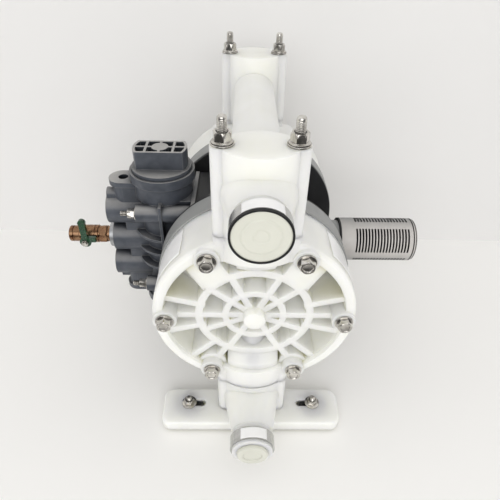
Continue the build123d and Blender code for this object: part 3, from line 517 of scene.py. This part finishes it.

# Sintered polyethylene beads, about 0.5 mm across, drawn near-black brown.
porous = material("sintered_polyethylene")
where = add(porous, "TexCoord").outputs["Object"]
beads = add(porous, "TexVoronoi", Vector=where, Scale=1500.0)
blotch = add(porous, "TexNoise", Vector=where, Scale=120.0, Detail=3.0)
bump = add(porous, "Bump", Strength=0.5, Distance=0.0003, Height=beads.outputs["Distance"], invert=True)
base = ramp(porous, blotch.outputs["Fac"], (0.3, "110e0c"), (0.7, "1f1a17"))
shade = add(porous, "BsdfPrincipled", Base_Color=base, Roughness=0.85, IOR=1.5,
            Normal=bump.outputs["Normal"])
add(porous, "OutputMaterial", Surface=shade.outputs["BSDF"])
coat(porous, "silencer_core")

# ---- Air valve ----
# The slate-coloured body is one moulding with ring ribs, four stud tubes, side bosses and two
# lugs. An aluminium spool shifts in its sleeve, and a cap at each end holds them in.

# Glass-filled polypropylene, slate: dull, with glass-flow mottling of a few millimetres, painted shade in
# the inner corners, edges drawn paler, and on the faces that look up a film of pale dust with painted top
# light.
slate_pp = material("slate_glass_filled_polypropylene")
where = add(slate_pp, "TexCoord").outputs["Object"]
grain = add(slate_pp, "TexNoise", Vector=where, Scale=850.0, Detail=3.0)
flow = add(slate_pp, "TexNoise", Vector=where, Scale=75.0, Detail=4.0, Distortion=0.6)
edge = add(slate_pp, "Bevel", samples=6, Radius=0.001)
bump = add(slate_pp, "Bump", Strength=0.3, Distance=0.0002, Height=grain.outputs["Fac"],
           Normal=edge.outputs["Normal"])
base = ramp(slate_pp, flow.outputs["Fac"], (0.3, "3f434b"), (0.7, "52565e"))
# Painted shade: where walls stand within 20 mm the colour goes darker.
depth = add(slate_pp, "AmbientOcclusion", samples=6, Distance=0.02)
unshaded = add(slate_pp, "MapRange", Value=depth.outputs["AO"], From_Min=0.2, From_Max=0.85)
dark = add(slate_pp, "Mix", data_type="RGBA", Factor=unshaded.outputs["Result"], i6=linear("1f2125"),
           i7=base)
# Pale dust and painted top light on faces that look up, less of it in corners.
facing = add(slate_pp, "NewGeometry")
upward = add(slate_pp, "SeparateXYZ", Vector=facing.outputs["Normal"])
faces_up = add(slate_pp, "MapRange", Value=upward.outputs["Z"], From_Min=0.35, From_Max=1.0, To_Max=0.6)
shelter = add(slate_pp, "MapRange", Value=depth.outputs["AO"], From_Min=0.55, From_Max=0.95)
dust_and_light_mask = add(slate_pp, "Math", operation="MULTIPLY", i0=faces_up.outputs["Result"],
           i1=shelter.outputs["Result"])
dust_and_top_light = add(slate_pp, "Mix", data_type="RGBA", Factor=dust_and_light_mask.outputs["Value"], i6=dark.outputs[2],
            i7=linear("c8c5c0"))
# Edges are drawn paler where the rounded normal turns from the true one.
bent = add(slate_pp, "VectorMath", operation="DOT_PRODUCT", i0=edge.outputs["Normal"],
           i1=facing.outputs["Normal"])
edge_mask = add(slate_pp, "MapRange", Value=bent.outputs["Value"], From_Min=0.99, From_Max=0.85, To_Max=0.5)
pale_edged = add(slate_pp, "Mix", data_type="RGBA", Factor=edge_mask.outputs["Result"], i6=dust_and_top_light.outputs[2],
             i7=linear("a3a3a2"))
rough = add(slate_pp, "MapRange", Value=grain.outputs["Fac"], To_Min=0.32, To_Max=0.5)
shade = add(slate_pp, "BsdfPrincipled", Base_Color=pale_edged.outputs[2], Roughness=rough.outputs["Result"],
            IOR=1.49, Normal=bump.outputs["Normal"])
add(slate_pp, "OutputMaterial", Surface=shade.outputs["BSDF"])
coat(slate_pp, "air_valve_body", "valve_cap_upper", "valve_cap_lower")

# Four M6 stainless studs hold the valve to the centre body, with flanged nuts on the tubes' ends.
valve_z, stud_z, stud_y = 172, 49, 31
spots = np.array([(0, y, valve_z + z) for z in (-stud_z, stud_z) for y in (-stud_y, stud_y)], float)
rod = threaded([(0, 39, 0), (2.6, 39.01, 0), (3, 40, 0), (3, 132.5, 0), (3, 133, 1), (3, 138.8, 1),
                (2.8, 139.3, 0.3), (2.2, 139.8, 0), (0, 140, 0)], 1.0, 0.5)
skin("valve_stud_rods", stand(rod, spots, (-1, 0, 0), (0, 50, 10, 80)), fastener, "pump",
     ["valve_studs"])
nut = hexagonal(10, [(3.1, 123, 0), (7.2, 123, 0), (7.4, 123.4, 0), (7.2, 124.2, 0), (6, 124.8, 1),
                     (6, 131.2, 1), (5, 132, 1), (3.5, 132, 0), (3.1, 131.6, 0), (3.1, 123, 0)])
skin("valve_flange_nuts", stand(nut, spots, (-1, 0, 0), (14, 3, 25, 8)), fastener, "pump",
     ["valve_nuts"])

# ---- Inlet ball valve ----
# A small brass cock screwed into the valve's air inlet: body, hexagonal end piece, chromed ball
# and stem, and a pressed steel lever enamelled green, held by a nut.

# Machined brass, tarnished reddish, with tool marks every 0.4 mm round its axis.
brass = material("machined_brass")
where = add(brass, "TexCoord").outputs["Object"]
marks = add(brass, "TexWave", bands_direction="X", Vector=where, Scale=420.0, Distortion=0.8)
tarnish = add(brass, "TexNoise", Vector=where, Scale=180.0, Detail=4.0)
edge = add(brass, "Bevel", samples=4, Radius=0.0004)
bump = add(brass, "Bump", Strength=0.12, Distance=0.0001, Height=marks.outputs["Fac"],
           Normal=edge.outputs["Normal"])
base = ramp(brass, tarnish.outputs["Fac"], (0.25, "6f4c38"), (0.75, "b39070"))
rough = add(brass, "MapRange", Value=tarnish.outputs["Fac"], To_Min=0.2, To_Max=0.38)
shade = add(brass, "BsdfPrincipled", Base_Color=base, Metallic=1.0, Roughness=rough.outputs["Result"],
            Normal=bump.outputs["Normal"])
add(brass, "OutputMaterial", Surface=shade.outputs["BSDF"])
body = hexagonal(all_round, [(7.06, 178, 0), (9.9, 178, 0), (10.2, 178.4, 0), (10.2, 180.6, 0),
                             (9.3, 180.9, 0), (9.3, 181.7, 0), (10.2, 182, 0), (10.2, 198.6, 0),
                             (9.2, 199.4, 0), (9.2, 205.6, 0), (8.1, 205.9, 0), (8.1, 206.8, 0),
                             (9.2, 207.1, 0), (9.2, 210.2, 0), (8.6, 211, 0), (7.4, 211, 0),
                             (7.4, 202, 0), (4, 202, 0), (4, 196.4, 0), (7.06, 196.4, 0),
                             (7.06, 178, 0)])
skin("inlet_cock_body", stand(body, [(0, 0, valve_z)], (-1, 0, 0)), brass, "pump",
     ["cock_body"])
stem_x = -189.88
boss = hexagonal(all_round, [(2.56, 10.1, 0), (5, 10.1, 0), (5, 12.1, 0), (4.6, 12.5, 0),
                             (2.56, 12.5, 0), (2.56, 10.1, 0)])
skin("inlet_cock_stem_boss", stand(boss, [(stem_x, 0, valve_z)], (0, -1, 0)), brass, "pump",
     ["cock_body"])
tail = hexagonal(18.5, [(4.9, 151, 0), (6.5, 151, 0), (6.5, 163, 0), (7.6, 163, 0), (7.6, 164.6, 0),
                        (9.1, 164.9, 0), (9.1, 166.6, 0), (7.9, 166.9, 0), (7.9, 167.8, 0),
                        (9.3, 168, 1), (10.7, 168.9, 1), (10.7, 175.6, 1), (9.3, 176.4, 1),
                        (8.8, 176.5, 0), (8.8, 178, 0), (6.9, 178, 0), (6.9, 184.4, 0), (4.9, 184.4, 0),
                        (4.9, 151, 0)])
skin("inlet_cock_end_piece", stand(tail, [(0, 0, valve_z)], (-1, 0, 0)), brass, "pump",
     ["cock_end"])

# Chromed brass ball: mirror bright with a few fine scratches.
chrome = material("polished_chrome")
where = add(chrome, "TexCoord").outputs["Object"]
scratch = add(chrome, "TexNoise", Vector=where, Scale=900.0, Detail=5.0)
rough = add(chrome, "MapRange", Value=scratch.outputs["Fac"], To_Min=0.06, To_Max=0.16)
shade = add(chrome, "BsdfPrincipled", Base_Color=linear("d6d8da"), Metallic=1.0,
            Roughness=rough.outputs["Result"])
add(chrome, "OutputMaterial", Surface=shade.outputs["BSDF"])
coat(chrome, "cock_ball")
coat(fastener, "cock_stem", "handle_nut")

# Stoved enamel on pressed steel: glossy dark green, with an orange-peel ripple of 1.5 mm.
enamel = material("green_stoved_enamel")
where = add(enamel, "TexCoord").outputs["Object"]
peel = add(enamel, "TexNoise", Vector=where, Scale=650.0, Detail=2.0)
edge = add(enamel, "Bevel", samples=4, Radius=0.0007)
bump = add(enamel, "Bump", Strength=0.12, Distance=0.0002, Height=peel.outputs["Fac"],
           Normal=edge.outputs["Normal"])
base = ramp(enamel, peel.outputs["Fac"], (0.3, "06341c"), (0.7, "0a4526"))
shade = add(enamel, "BsdfPrincipled", Base_Color=base, Roughness=0.22, IOR=1.5, Coat_Weight=0.4,
            Coat_Roughness=0.1, Normal=bump.outputs["Normal"])
add(enamel, "OutputMaterial", Surface=shade.outputs["BSDF"])
coat(enamel, "cock_handle")

# ---- Floor, wall, lights and camera ----
# A white table top stands against a pale wall, in an evenly lit white room with one soft lamp. The
# room is darker on the side of whoever looks at the pump, which shows only in polished metal.


def stage_sheet(name, corners, paint):
    """One flat quad through four corners in metres."""
    mesh = bpy.data.meshes.new(name)
    mesh.from_pydata(corners, [], [(0, 1, 2, 3)])
    mesh.materials.append(paint)
    sheet = bpy.data.objects.new(name, mesh)
    bpy.context.scene.collection.objects.link(sheet)


# Laminate: satin white, with slight clouds. Only in reflections does it fall off to dark towards
# the front, as a real room would show in polished metal.
laminate = material("white_laminate")
where = add(laminate, "TexCoord").outputs["Object"]
cloud = add(laminate, "TexNoise", Vector=where, Scale=3.0, Detail=2.0)
surface_tone = ramp(laminate, cloud.outputs["Fac"], (0.3, "f7f6f4"), (0.7, "f9f8f6"))
apart = add(laminate, "SeparateXYZ", Vector=where)
front_side = add(laminate, "MapRange", Value=apart.outputs["Y"], From_Min=-0.24, From_Max=-0.45)
ray = add(laminate, "LightPath")
mirrored = add(laminate, "Math", operation="MULTIPLY", i0=front_side.outputs["Result"],
               i1=ray.outputs["Is Glossy Ray"])
tone = add(laminate, "Mix", data_type="RGBA", Factor=mirrored.outputs["Value"], i6=surface_tone,
           i7=linear("1b1917"))
body = add(laminate, "BsdfPrincipled", Base_Color=tone.outputs[2], Roughness=0.6)
add(laminate, "OutputMaterial", Surface=body.outputs["BSDF"])
wall_x, wall_y, wall_slope = -0.452, 0.2435, -0.0232
wall_ends = [(x, wall_y + wall_slope * (x - wall_x)) for x in (-6.0, 6.0)]
stage_sheet("table_top", [(-6, -6, 0), (6, -6, 0), (6, 6, 0), (-6, 6, 0)], laminate)

# Emulsion paint: matt, and clear seen from behind, so that the pump can be seen from there too.
emulsion = material("white_emulsion")
where = add(emulsion, "TexCoord").outputs["Object"]
cloud = add(emulsion, "TexNoise", Vector=where, Scale=2.0, Detail=2.0)
surface_tone = ramp(emulsion, cloud.outputs["Fac"], (0.3, "e6e5e4"), (0.7, "e9e8e7"))
body = add(emulsion, "BsdfPrincipled", Base_Color=surface_tone, Roughness=0.8)
side_seen = add(emulsion, "NewGeometry")
clear = add(emulsion, "BsdfTransparent")
both = add(emulsion, "MixShader", Fac=side_seen.outputs["Backfacing"], i1=body.outputs["BSDF"],
           i2=clear.outputs["BSDF"])
add(emulsion, "OutputMaterial", Surface=both.outputs["Shader"])
(ax, ay), (bx, by) = wall_ends
stage_sheet("wall", [(ax, ay, 0), (bx, by, 0), (bx, by, 4), (ax, ay, 4)], emulsion)

# Room light by direction: brightest overhead, dimmer low down and towards the front.
world = bpy.data.worlds.new("room")
world.use_nodes = True
world.node_tree.nodes.clear()
heading = add(world, "TexCoord").outputs["Generated"]
apart = add(world, "SeparateXYZ", Vector=heading)
height = add(world, "MapRange", Value=apart.outputs["Z"], From_Min=0.0, From_Max=0.9, To_Min=0.74,
             To_Max=0.8)
front_side = add(world, "MapRange", Value=apart.outputs["Y"], From_Min=-0.9, From_Max=0.1, To_Min=0.12,
                 To_Max=1.1)
ray = add(world, "LightPath")
mirrored = add(world, "Mix", data_type="FLOAT", Factor=ray.outputs["Is Glossy Ray"],
               i2=height.outputs["Result"], i3=front_side.outputs["Result"])
seen = add(world, "Mix", data_type="FLOAT", Factor=ray.outputs["Is Camera Ray"], i2=mirrored.outputs[0],
           i3=0.84)
glow = add(world, "Background", Color=(1.0, 0.995, 0.985, 1.0), Strength=seen.outputs[0])
add(world, "OutputWorld", Surface=glow.outputs["Background"])
bpy.context.scene.world = world

lamp = bpy.data.lights.new("soft_lamp", "AREA")
lamp.shape = "RECTANGLE"
lamp.size = 1.8
lamp.size_y = 1.2
lamp.energy = 14.5
fixture = bpy.data.objects.new("soft_lamp", lamp)
fixture.location = (-0.12, -1.65, 0.98)
fixture.rotation_euler = (Vector((0, 0, 0.15)) - fixture.location).to_track_quat("-Z", "Y").to_euler()
bpy.context.scene.collection.objects.link(fixture)

# The camera looks down at the front: pitch down, yaw to the right, roll, and a lens whose focal
# length is given in pixels of the frame.
pitch, yaw, roll = np.radians([38.3245, 1.6199, 1.5503])
eye = (-0.0143, -0.42147, 0.4826)
focal_pixels, frame_pixels = 445.158, 500
forward = np.array([np.sin(yaw) * np.cos(pitch), np.cos(yaw) * np.cos(pitch), -np.sin(pitch)])
across = np.array([np.cos(yaw), -np.sin(yaw), 0.0])
upward = np.cross(across, forward)
right = np.cos(roll) * across + np.sin(roll) * upward
top = -np.sin(roll) * across + np.cos(roll) * upward
lens = bpy.data.cameras.new("camera")
lens.sensor_width = 36.0
lens.lens = focal_pixels * lens.sensor_width / frame_pixels
lens.clip_start = 0.01
camera = bpy.data.objects.new("camera", lens)
turn = Matrix(np.array([right, top, -forward]).T.tolist()).to_4x4()
camera.matrix_world = Matrix.Translation(eye) @ turn
bpy.context.scene.collection.objects.link(camera)
bpy.context.scene.camera = camera
bpy.context.scene.view_settings.view_transform = "Standard"
